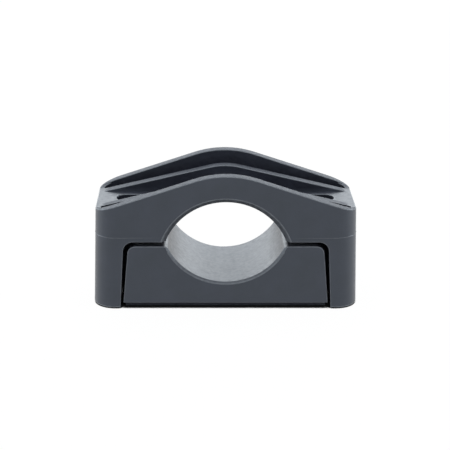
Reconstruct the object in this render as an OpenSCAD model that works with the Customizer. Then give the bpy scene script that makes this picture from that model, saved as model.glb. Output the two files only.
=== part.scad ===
// Two-piece moulded cable cleat: a ribbed bridge with two legs closes over a saddle,
// and the pair grips one cable between two round seats.
// X runs across the cable from bolt to bolt, Y along the cable, Z up from the mounting face.

/* [Cable] */
// Diameter of the thickest cable, which fills both round seats
cable_max_d = 65; // [58:1:68]
// Diameter of the thinnest cable, held with the bridge down on the mounting face
cable_min_d = 42; // [38:1:46]
// Height of the lowest point of the saddle's seat
seat_height = 14.4; // [13.4:0.1:16.4]

/* [Overall] */
// Length across the two feet
cleat_length = 134.8; // [130:0.2:150]
// Lean of the ends, which makes the lugs shorter than the feet
end_draft = 2; // [0.5:0.1:2.5]
// Depth along the cable
cleat_depth = 52; // [50:1:70]
// Radius of the four upright corners of the bridge
corner_r = 11; // [8:0.5:13]

/* [Bolts] */
// Distance between the two bolts
bolt_spacing = 91; // [89:0.5:93]
// Width of the bolt slots
slot_w = 10.5; // [8.5:0.5:12.5]
// Length of the bolt slots from end to end
slot_length = 20.6; // [16:0.2:21.6]

/* [Bridge] */
// Height of the flat lugs on which the bolt heads bear
lug_height = 51.6; // [49:0.2:53]
// Height of the face above the saddle
ceiling_height = 35.8; // [35:0.1:39]
// Thickness of each leg at its foot
leg_foot_t = 13.9; // [13:0.1:15.5]
// Draft of the inner faces of the legs
leg_draft = 3.4; // [2:0.1:4]
// Radius between the legs and the face above the saddle
ceiling_r = 5; // [3:0.5:7]
// Flare round the mouths of the bridge's seat
bridge_flare = 2.25; // [1:0.25:3]

/* [Ribs] */
// Height of the outer ribs at the middle
rim_height = 70.3; // [69.3:0.1:74]
// Fall of the outer ribs towards the lugs
rim_slope = 18.4; // [18.2:0.1:19]
// Radius of the outer ribs at the middle
rim_r = 50; // [35:1:60]
// Thickness of the outer ribs
rim_t = 5.25; // [4:0.25:6]
// Height of the inner ribs at the middle
rib_height = 65.1; // [64.1:0.1:67.1]
// Fall of the inner ribs towards the lugs
rib_slope = 13.4; // [12.6:0.1:13.9]
// Radius of the inner ribs at the middle
rib_r = 34; // [25:1:45]
// Thickness of the inner ribs
rib_t = 4.7; // [3:0.1:5]
// Width of the channel between the inner ribs, where the bolt heads go
channel_w = 19.4; // [17:0.2:20]
// Thickness of the wall round the seats and over the saddle
shell_t = 4; // [3:0.25:5]
// Radius of the outer ends of the pockets between the ribs
pocket_end_r = 12; // [9:0.5:13]
// Distance from those ends to the ends of the lugs
pocket_end_wall = 2.6; // [2:0.1:4]

/* [Saddle] */
// Gap between the saddle's shoulders and the bridge when closed
shoulder_gap = 2.1; // [1.5:0.1:4]
// Gap between the saddle and each leg at the foot
side_gap = 1.2; // [0.8:0.05:1.5]
// Draft of the saddle's ends
saddle_draft = 5.4; // [4:0.1:6]
// Gap between each leg and the guide pads on the saddle's ends
guide_gap = 0.4; // [0.3:0.05:0.45]
// Width of the guide pads
guide_w = 6; // [4:0.5:8]
// Distance between the two guide pads of one end
guide_spread = 17; // [16:0.5:20]
// Radius of the saddle's outer shoulders
shoulder_r = 4; // [2:0.5:5]
// Radius between the shoulders and the round seat
saddle_lip_r = 3; // [1.5:0.5:3.5]
// Flare round the mouths of the saddle's seat
saddle_flare = 1; // [0.5:0.25:1.5]
// Height of the set-back plinth that the saddle stands on
plinth_h = 3.1; // [2:0.1:4]
// Set-back of the plinth behind the saddle's front and back
plinth_inset = 4; // [2:0.25:5]
// Set-back of the plinth from the saddle's ends
plinth_end_inset = 1; // [0.5:0.25:2]

/* [Coring] */
// Width across the cable of the pockets under the saddle
core_w = 10; // [7:0.5:10.5]
// Length along the cable of the pockets under the saddle
core_l = 12; // [9:0.5:13]
// Thickness of the webs between the pockets
web_t = 3; // [2.5:0.25:4]
// Thickness of the web down the middle of the saddle
keel_t = 5; // [4:0.5:7]
// Width of the pockets in the feet
foot_core_w = 5; // [4:0.5:6]
// Length of the pockets in the feet
foot_core_l = 13; // [10:0.5:15]
// Thickness of the web between the pockets of one foot
foot_web_t = 13; // [12.5:0.25:15]
// Depth of the pockets in the feet
foot_core_depth = 26; // [15:1:30]

/* [Hidden] */
$fn = 64;

// Amount by which a cut runs past the face that it opens
over = 1;

half_l = cleat_length / 2;
half_d = cleat_depth / 2;
lug_end = half_l - lug_height * tan(end_draft);
half_channel = channel_w / 2;
rib_out = half_channel + rib_t;

// The two seats have the thickest cable's radius and stand the thinnest cable apart.
seat_r = cable_max_d / 2;
saddle_seat_z = seat_height + seat_r;
bridge_seat_z = seat_height + cable_min_d - seat_r;

// Half widths of the space between the legs, and of the saddle in it
cavity_foot = half_l - leg_foot_t;
cavity_top = cavity_foot - ceiling_height * tan(leg_draft);
shoulder_z = ceiling_height - shoulder_gap;
saddle_foot = cavity_foot - side_gap - plinth_h * tan(saddle_draft);
saddle_top = cavity_foot - side_gap - shoulder_z * tan(saddle_draft);
guide_foot = cavity_foot - guide_gap - plinth_h * tan(leg_draft);
guide_top = cavity_foot - guide_gap - shoulder_z * tan(leg_draft);

pocket_floor = ceiling_height + shell_t;
core_rows = 2;
core_columns = 5;
core_pitch_x = core_w + web_t;
core_pitch_y = core_l + keel_t;
core_top = shoulder_z - shell_t;
foot_core_x = half_l - leg_foot_t / 2;

// A front view, drawn in X and Z, given a depth along Y
module along_cable(d) {
    rotate([90, 0, 0])
        linear_extrude(height = d, center = true)
            children();
}

module both_ends() {
    children();
    mirror([1, 0, 0])
        children();
}

module both_sides() {
    children();
    mirror([0, 1, 0])
        children();
}

module rounded_rectangle(half_x, half_y, r) {
    square([2 * (half_x - r), 2 * half_y], center = true);
    square([2 * half_x, 2 * (half_y - r)], center = true);
    for (x = [-1, 1], y = [-1, 1])
        translate([x * (half_x - r), y * (half_y - r)])
            circle(r);
}

// Everything below a roof that falls both ways from a rounded ridge
module under_roof(height, slope, r) {
    ridge = height + r * (1 / cos(slope) - 1);
    tangent_x = r * sin(slope);
    tangent_z = height - r * (1 - cos(slope));
    eaves = ridge - half_l * tan(slope);
    polygon([
        [-half_l, 0], [half_l, 0], [half_l, eaves],
        [tangent_x, tangent_z], [-tangent_x, tangent_z], [-half_l, eaves]
    ]);
    intersection() {
        translate([0, height - r])
            circle(r);
        translate([-tangent_x, tangent_z - over])
            square([2 * tangent_x, height - tangent_z + 2 * over]);
    }
}

// A block with drafted ends and rounded upper corners
module drafted_block(half_foot, half_top, foot_z, top_z, r) {
    draft = atan2(half_foot - half_top, top_z - foot_z);
    round_x = half_top + r * tan(draft) - r / cos(draft);
    end_x = round_x + r * cos(draft);
    end_z = top_z - r + r * sin(draft);
    polygon([
        [-half_foot, foot_z], [half_foot, foot_z], [end_x, end_z],
        [round_x, top_z], [-round_x, top_z], [-end_x, end_z]
    ]);
    for (x = [-1, 1])
        translate([x * round_x, top_z - r])
            circle(r);
}

// The sharp corners between the saddle's shoulders and its seat, less their rounding
module saddle_lips() {
    drop = saddle_seat_z - shoulder_z;
    corner_x = sqrt(pow(seat_r, 2) - pow(drop, 2));
    round_x = sqrt(pow(seat_r + saddle_lip_r, 2) - pow(drop + saddle_lip_r, 2));
    share = seat_r / (seat_r + saddle_lip_r);
    for (x = [-1, 1])
        difference() {
            polygon([
                [x * (corner_x - over), shoulder_z + over], [x * round_x, shoulder_z + over],
                [x * round_x, shoulder_z - saddle_lip_r],
                [x * round_x * share, saddle_seat_z - (drop + saddle_lip_r) * share]
            ]);
            translate([x * round_x, shoulder_z - saddle_lip_r])
                circle(saddle_lip_r);
        }
}

module slot(length, width, height) {
    reach = (length - width) / 2;
    for (x = [-1, 1])
        translate([x * reach, 0, 0])
            cylinder(h = height, d = width);
    translate([-reach, -width / 2, 0])
        cube([2 * reach, width, height]);
}

module seat(z, r) {
    translate([0, 0, z])
        rotate([90, 0, 0])
            cylinder(h = cleat_depth + 2 * over, r = r, center = true, $fn = 128);
}

// A seat's round hollow, flared at the front and back
module flared_seat(z, flare) {
    seat(z, seat_r);
    both_sides()
        translate([0, -half_d, z])
            rotate([-90, 0, 0])
                cylinder(h = flare, r1 = seat_r + flare, r2 = seat_r, $fn = 128);
}

// Upright block with rounded corners, as far as the leaning end at +X
module leaning_end() {
    translate([half_l, 0, 0])
        rotate([0, -end_draft, 0])
            translate([-cleat_length, 0, -rim_height])
                linear_extrude(height = 3 * rim_height)
                    rounded_rectangle(cleat_length, half_d, corner_r);
}

module bridge_body() {
    intersection() {
        along_cable(cleat_depth) {
            under_roof(rim_height, rim_slope, rim_r);
            translate([-half_l, 0])
                square([cleat_length, lug_height]);
        }
        leaning_end();
        mirror([1, 0, 0])
            leaning_end();
    }
}

// Space between the legs, with the round seat above it
module bridge_opening() {
    along_cable(cleat_depth + 2 * over)
        drafted_block(cavity_foot + over * tan(leg_draft), cavity_top, -over, ceiling_height, ceiling_r);
    flared_seat(bridge_seat_z, bridge_flare);
}

// Space over the inner ribs, between the outer ones
module above_ribs() {
    along_cable(2 * rib_out)
        difference() {
            translate([-half_l - over, lug_height])
                square([cleat_length + 2 * over, rim_height]);
            under_roof(rib_height, rib_slope, rib_r);
        }
}

// Channel for the bolt heads, level with the lugs and arched over the seat
module bolt_channel() {
    difference() {
        translate([-half_l - over, -half_channel, lug_height])
            cube([cleat_length + 2 * over, channel_w, rim_height]);
        seat(bridge_seat_z, seat_r + shell_t);
    }
}

// Deep pocket between the back outer rib and the inner rib beside it
module rib_pocket() {
    difference() {
        intersection() {
            translate([0, 0, pocket_floor])
                linear_extrude(height = rim_height)
                    rounded_rectangle(lug_end - pocket_end_wall, half_d - rim_t, pocket_end_r);
            translate([-half_l, rib_out, pocket_floor])
                cube([cleat_length, half_d, rim_height]);
        }
        seat(bridge_seat_z, seat_r + shell_t);
    }
}

module foot_core() {
    translate([foot_core_x, (foot_core_l + foot_web_t) / 2, -over])
        rotate([0, 0, 90])
            slot(foot_core_l, foot_core_w, foot_core_depth + over);
}

module upper_clamp() {
    color("#3f4147")
        difference() {
            bridge_body();
            bridge_opening();
            above_ribs();
            bolt_channel();
            both_sides()
                rib_pocket();
            both_ends() {
                translate([bolt_spacing / 2, 0, -over])
                    slot(slot_length, slot_w, lug_height + 2 * over);
                both_sides()
                    foot_core();
            }
        }
}

// Body with its guide pads, which lie along the inner faces of the legs
module saddle_body() {
    along_cable(cleat_depth)
        drafted_block(saddle_foot, saddle_top, plinth_h, shoulder_z, shoulder_r);
    both_sides()
        translate([0, (guide_spread + guide_w) / 2, 0])
            along_cable(guide_w)
                drafted_block(guide_foot, guide_top, plinth_h, shoulder_z, shoulder_r);
    translate([plinth_end_inset - saddle_foot, plinth_inset - half_d, 0])
        cube([2 * (saddle_foot - plinth_end_inset), 2 * (half_d - plinth_inset), plinth_h + over]);
}

// Bolt slot that runs out through the saddle's end
module open_slot() {
    slot_start = (bolt_spacing - slot_length) / 2;
    translate([slot_start + half_l / 2, 0, -over])
        slot(half_l, slot_w, shoulder_z + 2 * over);
}

module core_pockets() {
    difference() {
        for (column = [0 : core_columns - 1], row = [0 : core_rows - 1])
            translate([
                (column - (core_columns - 1) / 2) * core_pitch_x - core_w / 2,
                (row - (core_rows - 1) / 2) * core_pitch_y - core_l / 2,
                -over
            ])
                cube([core_w, core_l, core_top + over]);
        seat(saddle_seat_z, seat_r + shell_t);
    }
}

module lower_saddle() {
    color("#3c3e44")
        difference() {
            saddle_body();
            flared_seat(saddle_seat_z, saddle_flare);
            along_cable(cleat_depth + 2 * over)
                saddle_lips();
            both_ends()
                open_slot();
            core_pockets();
        }
}

upper_clamp();
lower_saddle();
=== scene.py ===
"""Looks of a two-piece cable cleat: edge radii, mould line, charcoal nylon, studio and camera."""

import math

import bmesh
import bpy
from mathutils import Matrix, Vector


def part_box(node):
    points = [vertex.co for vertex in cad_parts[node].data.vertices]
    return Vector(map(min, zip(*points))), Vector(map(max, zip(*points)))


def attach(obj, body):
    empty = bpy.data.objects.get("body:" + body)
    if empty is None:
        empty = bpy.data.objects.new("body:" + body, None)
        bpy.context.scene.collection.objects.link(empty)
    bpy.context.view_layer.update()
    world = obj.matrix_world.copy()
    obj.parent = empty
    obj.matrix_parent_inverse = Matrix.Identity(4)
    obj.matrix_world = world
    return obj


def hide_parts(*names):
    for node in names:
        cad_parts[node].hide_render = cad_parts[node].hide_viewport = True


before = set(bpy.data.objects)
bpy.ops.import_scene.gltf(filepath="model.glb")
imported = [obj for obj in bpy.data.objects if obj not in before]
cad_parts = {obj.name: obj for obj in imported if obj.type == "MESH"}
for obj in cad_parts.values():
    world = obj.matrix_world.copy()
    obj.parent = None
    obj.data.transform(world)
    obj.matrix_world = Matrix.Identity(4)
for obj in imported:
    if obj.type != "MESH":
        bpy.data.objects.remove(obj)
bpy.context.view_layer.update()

MM = 0.001

# Corners this close together are one, and faces or edges this nearly in line are one
WELD = 0.02 * MM
WELD_AFTER_CUTS = 0.03 * MM
FLAT_ANGLE = math.radians(0.5)
STRAIGHT_ANGLE = 0.01

# Edge radii of the mouldings and of the feet below, and what counts as an edge
EDGE_R = 0.4 * MM
FOOT_R = 1.2 * MM
EDGE_STEPS = 3
SHARP_ANGLE = math.radians(25)
CREASE_ANGLE = math.radians(38)

# Line left by the mould's two halves round the bridge
MOULD_LINE_Z = 38.2 * MM
MOULD_LINE_HALF = 0.3 * MM
MOULD_LINE_PROUD = 0.12 * MM
ON_MOULD_LINE = 1e-6

# The photograph's camera: its lens in pixels of the photo, its height above the horizon, its place
# left of the middle, and the point on the front face that it is fitted to. It looks along Y, tilted
# down only.
PHOTO_SIZE = 450
SENSOR_WIDTH = 36
FOCAL_PX = 1300
ELEVATION = math.radians(20.7)
CAMERA_DISTANCE = 0.65
CAMERA_X = -13.5 * MM
AIM_HEIGHT = 35.65 * MM
AIM_PX = (226, 243)
FRONT_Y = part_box("upper_clamp")[0].y

# Lengths from here to the colours are in millimetres, from the middle of the cleat outwards.
# The bridge's top: the lugs as the frame has them and their pads as the photograph shows them,
# the bolt channel and the arch under it, and the straight roofs of the ribs and the outer rims
LUG = 51.6
PAD = 50.95
HALF_CHANNEL = 9.7
RIB_OUT = 14.4
ARCH_R, ARCH_Z = 36.5, 23.9
RIB_RIDGE, RIB_SLOPE = 66.052, math.radians(13.4)
RIM_RIDGE, RIM_SLOPE = 72.994, math.radians(18.4)

# The pockets between the ribs: their floor, side, end and end corners, and the points inside them
# where the cut for the new ends starts: beside the rib, and on the side next to it
POCKET_FLOOR = 39.8
POCKET_SIDE = 20.75
POCKET_END = 63.0
POCKET_R = 5.5
POCKET_STEPS = 12
POCKET_CUT_AT_RIB = 57
POCKET_CUT_FROM, POCKET_CUT_SIDE = 50.5, 17

# Slope that fades the pockets' ends into the pads: its start, outer side and rise over the lugs
FADE_FROM = 59.5
FADE_OUT = 20
FADE_RISE = 0.55

# Cuts reach past the bridge's end, front and top and past the lugs, and overlap each other a little
PAST_END, PAST_FRONT, PAST_TOP, PAST_LUG = 70, 27, 75, 53
OVERLAP = 0.02

# The saddle's guide pads: where they lie along the cable, how much closer to the legs they are
# shown, the length of their slanted lead-ins, and how near a corner has to be to belong to them
GUIDE_FROM, GUIDE_TO = 8.5, 14.5
GUIDE_OUT = 0.3
LEAD_IN = 2
GUIDE_NEAR = 0.05

# Where edges are told apart: the seats and their flared mouths, the saddle's ends, its lips, the
# ends of the inner ribs, the feet's round corners and the bolt slots
SEAT_REACH = 34
MOUTH_FROM, MOUTH_TO = 23.5, 25.95
SADDLE_END, SADDLE_FRONT = 46, 25.9
LIP_FROM, LIP_TO = 29.5, 30.8
LIP_LOW, LIP_HIGH = 31.3, 33.6
RUN_OUT_FROM, RUN_OUT_TO = 61.5, 64.8
RUN_OUT_IN, RUN_OUT_OUT = 9, 15.7
RUN_OUT_LOW, RUN_OUT_HIGH = PAD - 1, LUG + 0.8
FOOT_FROM = 53
FOOT_CORNER_X, FOOT_CORNER_Y = 56.4, 15
FOOT_CORNER_IN = 10
SLOT_END, SLOT_SIDE = 58, 6
NEAR = 0.1

CHARCOAL = (0.022, 0.0235, 0.034)
# Paler colour for the edges: on the edge radii partly wear and partly painted highlight, on the
# flares painted reflection of the floor, on the mould line painted highlight
WEAR_AND_HIGHLIGHT = (0.20, 0.21, 0.23)
SHEEN_BLUE = (0.79, 0.89, 1.0)
DAYLIGHT = (0.90, 0.96, 1.0)
WHITE = (1, 1, 1)

# Share of the paler colour on the flared mouths, as a painted reflection of the floor, and on the
# mould line, as a painted highlight, and how far a flare leans at least
PART_PAINTED_LIGHT = 0.7
FLARE_LEAN = 0.3

# Patterns in the nylon as scale and detail of a noise, which lies mostly between two values
CLOUDS = (70, 3)
GRAIN = (2600, 2)
FIBRES = (520, 4)
NOISE_RANGE = (0.3, 0.7)

# What the patterns do: shades of the clouds and the specks, the specks' share, and the patches of
# the paler edge colour, which is wear and painted highlight
CLOUD_DARK, CLOUD_PALE, SPECK_PALE = 0.72, 1.28, 1.5
SPECK_SHARE = 0.16
WEAR_AND_HIGHLIGHT_PATCHES = (0.45, 0.9)
GRAIN_STRENGTH, GRAIN_DEPTH = 0.25, 0.03 * MM

# Roughness of the satin finish, and what the matte tops of the ribs add to it. They start between
# two heights above the pads and between two upward slopes.
SATIN = (0.28, 0.40)
MATTE_ADDED = 0.22
MATTE_FROM, MATTE_FULL = (PAD + 0.15) * MM, (PAD + 0.6) * MM
UPWARD_FROM, UPWARD_FULL = 0.6, 0.85
NYLON_IOR = 1.68

# Even light from all round
SKY_STRENGTH = 0.16

# The floor lies a little below the feet, so that no faces coincide. It throws light back as a grey
# and is seen as a white, which the contact shadow darkens.
FLOOR_SIZE = 6
FLOOR_DROP = 0.05 * MM
FLOOR_GREY = (0.5, 0.5, 0.5)
FLOOR_WHITE = 1.06
FLOOR_WHITE_SHARE = 0.92
CONTACT_REACH = 6 * MM
CONTACT_SAMPLES = 16
CONTACT_DARK, CONTACT_CLEAR = 0.42, 0.56

# Soft lights in metres: name, place, point aimed at, width, height and radiance
SOFTBOXES = (
    ("back_softbox", (0, 0.8, 0.3), (0, 0, 0.05), 1.3, 0.6, 1.57),
    ("top_softbox", (0, 0.15, 0.9), (0, 0, 0.03), 0.8, 0.8, 1.45),
    ("front_softbox", (-0.1, -0.85, 0.55), (0, 0, 0.04), 1.8, 0.5, 1.0),
    ("left_softbox", (-0.8, 0.05, 0.2), (0, 0, 0.03), 0.5, 0.4, 4.2),
    ("right_softbox", (0.8, 0.05, 0.2), (0, 0, 0.03), 0.5, 0.4, 4.2),
)

# The axes that the two measures of an outline and the length it is drawn out to lie along
OUTLINE_AXES = {"X": (1, 2, 0), "Y": (0, 2, 1), "Z": (0, 1, 2)}


def join_flat_faces(bm, weld):
    """Joins corners that lie together, and faces that lie in one plane."""
    bmesh.ops.remove_doubles(bm, verts=bm.verts, dist=weld)
    bmesh.ops.dissolve_limit(bm, angle_limit=FLAT_ANGLE, verts=bm.verts, edges=bm.edges)


def prism(bm, outline, low, high, along, scale):
    """Adds a closed block to bm: a flat outline drawn out from low to high along an axis."""
    rings = []
    for length in (low, high):
        ring = []
        for a, b in outline:
            at = [0, 0, 0]
            for axis, measure in zip(OUTLINE_AXES[along], (a, b, length)):
                at[axis] = measure * scale[axis]
            ring.append(bm.verts.new(at))
        rings.append(ring)
    for ring in rings:
        bm.faces.new(ring)
    for i in range(len(outline)):
        j = i - 1
        bm.faces.new((rings[0][j], rings[0][i], rings[1][i], rings[1][j]))


def linked_object(name, data):
    item = bpy.data.objects.new(name, data)
    bpy.context.scene.collection.objects.link(item)
    return item


def mesh_object(name, bm):
    mesh = bpy.data.meshes.new(name)
    bm.to_mesh(mesh)
    bm.free()
    return linked_object(name, mesh)


def evaluated(item):
    """The object with its modifiers applied."""
    bpy.context.view_layer.update()
    return item.evaluated_get(bpy.context.evaluated_depsgraph_get())


def cut_away(bm, outline, low, high, along):
    """Cuts a block from both ends of bm, and from both sides unless it lies across the middle.

    The outline is drawn in the other two axes and runs from low to high along X, Y or Z."""
    blocks = bmesh.new()
    for x in (-MM, MM):
        for y in (-MM, MM) if low > 0 else (MM,):
            prism(blocks, outline, low, high, along, (x, y, MM))
    bmesh.ops.recalc_face_normals(blocks, faces=blocks.faces)
    body = mesh_object("cut_body", bm.copy())
    cutter = mesh_object("cut_blocks", blocks)
    cut = body.modifiers.new("cut", "BOOLEAN")
    cut.operation = "DIFFERENCE"
    cut.solver = "EXACT"
    cut.object = cutter
    shaped = evaluated(body).to_mesh()
    bm.clear()
    bm.from_mesh(shaped)
    for holder in (body, cutter):
        mesh = holder.data
        bpy.data.objects.remove(holder)
        bpy.data.meshes.remove(mesh)


def roof_x(ridge, slope, z):
    """Where a rib's straight roof comes down to height z."""
    return (ridge - z) / math.tan(slope)


def shape_lugs(bm):
    """Lowers the lugs' pads, runs ribs and pocket ends down to them and squares those ends."""
    arch = [(math.sqrt(ARCH_R ** 2 - (z - ARCH_Z) ** 2), z) for z in (LUG, PAD)]
    ribs = [(roof_x(RIB_RIDGE, RIB_SLOPE, z), z) for z in (LUG, PAD)]
    for inner, low, high in (
        (arch, -HALF_CHANNEL, HALF_CHANNEL),
        (ribs, HALF_CHANNEL - OVERLAP, RIB_OUT),
    ):
        outline = [*inner, (PAST_END, PAD), (PAST_END, PAST_LUG), (inner[0][0], PAST_LUG)]
        cut_away(bm, outline, low, high, "Y")

    rim_end = roof_x(RIM_RIDGE, RIM_SLOPE, LUG)
    rim_out = RIM_RIDGE - PAST_END * math.tan(RIM_SLOPE)
    rim = [(rim_end, LUG), (PAST_END, rim_out), (PAST_END, PAST_LUG), (rim_end, PAST_LUG)]
    cut_away(bm, rim, RIB_OUT - OVERLAP, PAST_FRONT, "Y")

    corner = (POCKET_END - POCKET_R, POCKET_SIDE - POCKET_R)
    start = math.asin((RIB_OUT - corner[1]) / POCKET_R)
    turn = [start + (math.pi / 2 - start) * i / POCKET_STEPS for i in range(POCKET_STEPS + 1)]
    arc = [(corner[0] + POCKET_R * math.cos(a), corner[1] + POCKET_R * math.sin(a)) for a in turn]
    arc[0] = (arc[0][0], RIB_OUT - OVERLAP)
    pocket = [
        (POCKET_CUT_AT_RIB, RIB_OUT),
        *arc,
        (POCKET_CUT_FROM, POCKET_SIDE),
        (POCKET_CUT_FROM, POCKET_CUT_SIDE),
    ]
    cut_away(bm, pocket, POCKET_FLOOR, PAST_TOP, "Z")

    fade = [(RIB_OUT, PAD), (FADE_OUT, LUG + FADE_RISE), (FADE_OUT, PAST_TOP), (RIB_OUT, PAST_TOP)]
    cut_away(bm, fade, FADE_FROM, PAST_END, "X")

    join_flat_faces(bm, WELD_AFTER_CUTS)
    spare = [
        v for v in bm.verts
        if len(v.link_edges) == 2 and v.link_edges[0].calc_face_angle(0) < STRAIGHT_ANGLE
    ]
    bmesh.ops.dissolve_verts(bm, verts=spare)


def in_line_with(v, y):
    return abs(abs(v.co.y) / MM - y) < GUIDE_NEAR


def close_guides(bm):
    """Brings the saddle's guide pads closer to the legs and slants their ends, for a dark gap."""
    slanted = [f for f in bm.faces if all(in_line_with(v, GUIDE_TO) for v in f.verts)]
    for edge in bm.edges:
        near, far = sorted(edge.verts, key=lambda v: abs(v.co.y))
        if in_line_with(near, GUIDE_FROM) and in_line_with(far, GUIDE_TO):
            for v in (near, far):
                v.co.x += math.copysign(GUIDE_OUT * MM, v.co.x)
            far.co.y -= math.copysign(LEAD_IN * MM, far.co.y)
    bmesh.ops.triangulate(bm, faces=slanted)


def outward(at):
    """A point in millimetres from the middle outwards: all four quarters are the same."""
    return abs(at.x) / MM, abs(at.y) / MM, at.z / MM


def inside_mouth(at):
    """On the inner edge of a seat's flared mouth, which is blunt already."""
    x, y, _ = outward(at)
    return x < SEAT_REACH and MOUTH_FROM < y < MOUTH_TO


def inside_gap(at):
    """On the saddle's end or its guide pads, which the bridge's legs hide."""
    x, y, _ = outward(at)
    return x > SADDLE_END and y < SADDLE_FRONT


def at_lip(at):
    """Where the flare of the saddle's mouth thins out to nothing below its lip."""
    x, _, z = outward(at)
    return LIP_FROM < x < LIP_TO and LIP_LOW < z < LIP_HIGH


def over_pocket(at):
    """On an inner rib's edge over a pocket."""
    x, y, z = outward(at)
    return x < RUN_OUT_TO and abs(y - RIB_OUT) < NEAR and z > PAD - NEAR


def at_run_out(at):
    """Where the inner ribs run out in steps lower than an edge radius."""
    x, y, z = outward(at)
    return (
        RUN_OUT_FROM < x < RUN_OUT_TO
        and RUN_OUT_IN < y < RUN_OUT_OUT
        and RUN_OUT_LOW < z < RUN_OUT_HIGH
    )


def under_foot(at):
    """On the outer bottom edge of the bridge's feet, which is rounder than the rest."""
    x, y, z = outward(at)
    past_corner = math.hypot(max(x - FOOT_CORNER_X, 0), max(y - FOOT_CORNER_Y, 0))
    return z < NEAR and x > FOOT_FROM and past_corner > FOOT_CORNER_IN


def rounded(node, name, shape, sharp_places):
    """A new piece: the node's mesh, shaped, with round edges whose faces have material index 1."""
    bm = bmesh.new()
    bm.from_mesh(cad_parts[node].data)
    join_flat_faces(bm, WELD)
    shape(bm)
    weight = bm.edges.layers.float.new("bevel_weight_edge")
    for edge in bm.edges:
        at = (edge.verts[0].co + edge.verts[1].co) / 2
        stays_sharp = any(place(at) for place in sharp_places)
        if edge.is_convex and edge.calc_face_angle(0) > SHARP_ANGLE and not stays_sharp:
            edge[weight] = 1 if under_foot(at) else EDGE_R / FOOT_R
    piece = mesh_object(name, bm)
    bevel = piece.modifiers.new("edge_radii", "BEVEL")
    bevel.limit_method = "WEIGHT"
    bevel.width = FOOT_R
    bevel.segments = EDGE_STEPS
    bevel.use_clamp_overlap = False
    bevel.loop_slide = False
    bevel.material = 1
    piece.data.materials.append(None)
    piece.data.materials.append(None)
    piece.data = bpy.data.meshes.new_from_object(evaluated(piece))
    piece.modifiers.clear()
    return piece


def add_mould_line(piece):
    """Raises a fine line round the outside of the bridge, where the mould's halves met."""
    bm = bmesh.new()
    bm.from_mesh(piece.data)
    for step in (-1, 0, 1):
        bmesh.ops.bisect_plane(
            bm,
            geom=bm.verts[:] + bm.edges[:] + bm.faces[:],
            dist=ON_MOULD_LINE,
            plane_co=(0, 0, MOULD_LINE_Z + step * MOULD_LINE_HALF),
            plane_no=(0, 0, 1),
        )
    bm.normal_update()
    for v in bm.verts:
        x, y, _ = outward(v.co)
        in_slot = x < SLOT_END and y < SLOT_SIDE
        in_seat = x < SEAT_REACH
        if abs(v.co.z - MOULD_LINE_Z) < ON_MOULD_LINE and not in_slot and not in_seat:
            out = Vector((v.normal.x, v.normal.y, 0)).normalized()
            v.co += out * MOULD_LINE_PROUD
    bm.to_mesh(piece.data)
    bm.free()


def mark_wear_and_highlight(mesh):
    """Gives each corner of a face its share of the paler colour: full on edge radii, where it is
    wear and painted highlight, and part on flares and mould line, where it is painted reflection
    and painted highlight.
    """
    wear_and_highlight = mesh.attributes.new("wear_and_highlight", "FLOAT", "CORNER")
    for polygon in mesh.polygons:
        flared = inside_mouth(polygon.center) and abs(polygon.normal.y) > FLARE_LEAN
        for i in polygon.loop_indices:
            at = mesh.vertices[mesh.loops[i].vertex_index].co
            outside_seat = abs(at.x) > SEAT_REACH * MM
            on_line = abs(at.z - MOULD_LINE_Z) < ON_MOULD_LINE and outside_seat
            if polygon.material_index:
                wear_and_highlight.data[i].value = 1
            # Flares get a painted reflection of the floor and the mould line a painted highlight,
            # as part of the paler colour
            elif flared or on_line:
                wear_and_highlight.data[i].value = PART_PAINTED_LIGHT
        polygon.material_index = 0
    mesh.materials.clear()


def smooth_radii(mesh):
    """Shades edge radii and round faces smoothly into the flat faces beside them."""
    around = [[] for _ in mesh.vertices]
    for polygon in mesh.polygons:
        for i in polygon.vertices:
            around[i].append(polygon)
    normals = [Vector() for _ in mesh.loops]
    for polygon in mesh.polygons:
        for i in polygon.loop_indices:
            for other in around[mesh.loops[i].vertex_index]:
                if polygon.normal.angle(other.normal, math.pi) < CREASE_ANGLE:
                    normals[i] += other.area * other.normal
            normals[i].normalize()
    mesh.shade_smooth()
    mesh.normals_split_custom_set(normals)


bridge = rounded(
    "upper_clamp", "bridge_moulding", shape_lugs, (inside_mouth, over_pocket, at_run_out)
)
saddle = rounded(
    "lower_saddle", "saddle_moulding", close_guides, (inside_mouth, inside_gap, at_lip)
)
add_mould_line(bridge)

for piece, body, node, slot in (
    (bridge, "bridge", "upper_clamp", "bridge_nylon"),
    (saddle, "saddle", "lower_saddle", "saddle_nylon"),
):
    mark_wear_and_highlight(piece.data)
    smooth_radii(piece.data)
    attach(piece, body)
    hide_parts(node)


def put(tree, value, socket):
    """Sets a socket to a number or a colour, or links another node's output to it."""
    if isinstance(value, bpy.types.NodeSocket):
        tree.links.new(value, socket)
    elif isinstance(value, tuple):
        socket.default_value = (*value, 1)
    else:
        socket.default_value = value


def maths(tree, operation, *values):
    node = tree.nodes.new("ShaderNodeMath")
    node.operation = operation
    for value, socket in zip(values, node.inputs):
        put(tree, value, socket)
    return node.outputs[0]


def noise(tree, place, scale, detail):
    node = tree.nodes.new("ShaderNodeTexNoise")
    put(tree, place, node.inputs["Vector"])
    put(tree, scale, node.inputs["Scale"])
    put(tree, detail, node.inputs["Detail"])
    return node.outputs["Fac"]


def stretched(tree, value, start, end, low=0, high=1, interpolation="LINEAR"):
    """value between start and end, stretched to run from low to high, and level beyond them."""
    node = tree.nodes.new("ShaderNodeMapRange")
    node.interpolation_type = interpolation
    put(tree, value, node.inputs["Value"])
    put(tree, start, node.inputs["From Min"])
    put(tree, end, node.inputs["From Max"])
    put(tree, low, node.inputs["To Min"])
    put(tree, high, node.inputs["To Max"])
    return node.outputs["Result"]


def upright(tree, vector):
    """The Z part of a vector."""
    node = tree.nodes.new("ShaderNodeSeparateXYZ")
    put(tree, vector, node.inputs["Vector"])
    return node.outputs["Z"]


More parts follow.
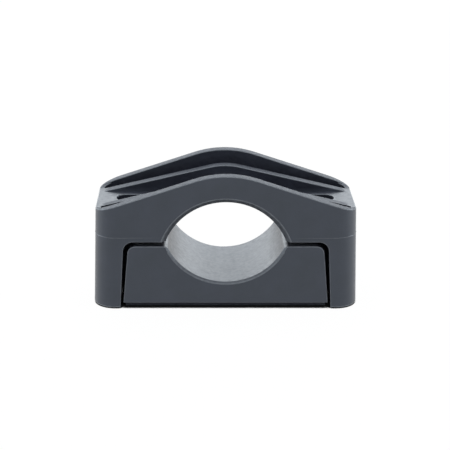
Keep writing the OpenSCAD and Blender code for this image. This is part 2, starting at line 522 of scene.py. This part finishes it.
def mixed(tree, fac, a, b):
    """Colour a turned into colour b by fac."""
    node = tree.nodes.new("ShaderNodeMix")
    node.data_type = "RGBA"
    put(tree, fac, node.inputs["Factor"])
    colours = [socket for socket in node.inputs if socket.type == "RGBA"]
    for value, socket in zip((a, b), colours):
        put(tree, value, socket)
    return next(socket for socket in node.outputs if socket.type == "RGBA")


def shade_of(colour, factor):
    return tuple(factor * c for c in colour)


def nylon(name, seed):
    """Glass-filled nylon: charcoal with faint flow clouds, a fine grain and paler edges, which are
    partly wear and partly painted highlight.
    """
    material = bpy.data.materials.new(name)
    material.use_nodes = True
    tree = material.node_tree
    shader = tree.nodes["Principled BSDF"]
    coordinates = tree.nodes.new("ShaderNodeTexCoord")
    where = coordinates.outputs["Object"]
    shifted = tree.nodes.new("ShaderNodeMapping")
    shifted.inputs["Location"].default_value = (seed, 2 * seed, 3 * seed)
    put(tree, where, shifted.inputs["Vector"])
    place = shifted.outputs["Vector"]

    clouds = noise(tree, place, *CLOUDS)
    grain = noise(tree, place, *GRAIN)
    fibres = noise(tree, place, *FIBRES)
    wear_and_highlight = tree.nodes.new("ShaderNodeAttribute")
    wear_and_highlight.attribute_name = "wear_and_highlight"

    cloudy = stretched(tree, clouds, *NOISE_RANGE)
    colour = mixed(tree, cloudy, shade_of(CHARCOAL, CLOUD_DARK), shade_of(CHARCOAL, CLOUD_PALE))
    specks = maths(tree, "MULTIPLY", stretched(tree, grain, *NOISE_RANGE), SPECK_SHARE)
    colour = mixed(tree, specks, colour, shade_of(CHARCOAL, SPECK_PALE))
    patches = stretched(tree, fibres, *NOISE_RANGE, *WEAR_AND_HIGHLIGHT_PATCHES)
    # Paler colour on edge radii, flares and mould line: painted highlight and painted reflection,
    # with some wear in patches
    colour = mixed(tree, maths(tree, "MULTIPLY", wear_and_highlight.outputs["Fac"], patches), colour, WEAR_AND_HIGHLIGHT)
    put(tree, colour, shader.inputs["Base Color"])

    # The tops of the ribs, above the pads, have a matter finish than the rest
    above_pads = stretched(tree, upright(tree, where), MATTE_FROM, MATTE_FULL)
    normal = coordinates.outputs["Normal"]
    facing_up = stretched(tree, upright(tree, normal), UPWARD_FROM, UPWARD_FULL)
    rib_top = maths(tree, "MULTIPLY", above_pads, facing_up)
    satin = stretched(tree, fibres, *NOISE_RANGE, *SATIN)
    rough = maths(tree, "MULTIPLY_ADD", rib_top, MATTE_ADDED, satin)
    put(tree, rough, shader.inputs["Roughness"])
    put(tree, NYLON_IOR, shader.inputs["IOR"])
    put(tree, SHEEN_BLUE, shader.inputs["Specular Tint"])

    bump = tree.nodes.new("ShaderNodeBump")
    put(tree, GRAIN_STRENGTH, bump.inputs["Strength"])
    put(tree, GRAIN_DEPTH, bump.inputs["Distance"])
    put(tree, grain, bump.inputs["Height"])
    put(tree, bump.outputs["Normal"], shader.inputs["Normal"])
    return material


bridge.data.materials.append(nylon("bridge_nylon_look", 0.3))
saddle.data.materials.append(nylon("saddle_nylon_look", 0.7))


def seen_directly(tree):
    """1 for rays from the camera, a gloss or a clear surface, and 0 for those that give light."""
    path = tree.nodes.new("ShaderNodeLightPath")
    seen = path.outputs["Is Camera Ray"]
    for kind in ("Is Glossy Ray", "Is Transmission Ray"):
        seen = maths(tree, "MAXIMUM", seen, path.outputs[kind])
    return seen


def show(tree, share, lighting, seen, output):
    """Mixes the shader that lights the object with the one that is seen, by share."""
    mix = tree.nodes.new("ShaderNodeMixShader")
    put(tree, share, mix.inputs["Fac"])
    put(tree, lighting.outputs[0], mix.inputs[1])
    put(tree, seen.outputs[0], mix.inputs[2])
    put(tree, mix.outputs[0], tree.nodes[output].inputs["Surface"])


# White backdrop, and a weaker even light from all round
world = bpy.data.worlds.new("studio")
bpy.context.scene.world = world
world.use_nodes = True
tree = world.node_tree
sky = tree.nodes["Background"]
put(tree, WHITE, sky.inputs["Color"])
put(tree, SKY_STRENGTH, sky.inputs["Strength"])
backdrop = tree.nodes.new("ShaderNodeBackground")
put(tree, WHITE, backdrop.inputs["Color"])
show(tree, seen_directly(tree), sky, backdrop, "World Output")

# White floor, darkened where the object stands close over it
bpy.ops.mesh.primitive_plane_add(size=FLOOR_SIZE, location=(0, 0, -FLOOR_DROP))
floor = bpy.context.object
floor.name = "floor"
paper = bpy.data.materials.new("floor_paper")
paper.use_nodes = True
floor.data.materials.append(paper)
tree = paper.node_tree
tree.nodes.remove(tree.nodes["Principled BSDF"])
diffuse = tree.nodes.new("ShaderNodeBsdfDiffuse")
put(tree, FLOOR_GREY, diffuse.inputs["Color"])
contact = tree.nodes.new("ShaderNodeAmbientOcclusion")
put(tree, CONTACT_REACH, contact.inputs["Distance"])
contact.samples = CONTACT_SAMPLES
bright = stretched(
    tree, contact.outputs["AO"], CONTACT_DARK, CONTACT_CLEAR, 0, FLOOR_WHITE, "SMOOTHSTEP"
)
glow = tree.nodes.new("ShaderNodeEmission")
put(tree, bright, glow.inputs["Strength"])
white_share = maths(tree, "MULTIPLY", seen_directly(tree), FLOOR_WHITE_SHARE)
show(tree, white_share, diffuse, glow, "Material Output")

for name, place, aim, width, height, radiance in SOFTBOXES:
    lamp = bpy.data.lights.new(name, "AREA")
    lamp.shape = "RECTANGLE"
    lamp.size = width
    lamp.size_y = height
    lamp.energy = radiance * math.pi * width * height
    lamp.color = DAYLIGHT
    box = linked_object(name, lamp)
    box.location = place
    box.rotation_euler = (Vector(aim) - Vector(place)).to_track_quat("-Z", "Y").to_euler()
    box.visible_camera = False

camera = bpy.data.cameras.new("camera")
camera.sensor_width = SENSOR_WIDTH
camera.lens = FOCAL_PX / PHOTO_SIZE * camera.sensor_width
side_px = CAMERA_X / CAMERA_DISTANCE * FOCAL_PX
camera.shift_x = (PHOTO_SIZE / 2 - AIM_PX[0] - side_px) / PHOTO_SIZE
camera.shift_y = (AIM_PX[1] - PHOTO_SIZE / 2) / PHOTO_SIZE
viewer = linked_object("camera", camera)
viewer.location = (
    CAMERA_X,
    FRONT_Y - CAMERA_DISTANCE * math.cos(ELEVATION),
    AIM_HEIGHT + CAMERA_DISTANCE * math.sin(ELEVATION),
)
viewer.rotation_euler = (math.pi / 2 - ELEVATION, 0, 0)
bpy.context.scene.camera = viewer
bpy.context.scene.view_settings.view_transform = "Standard"
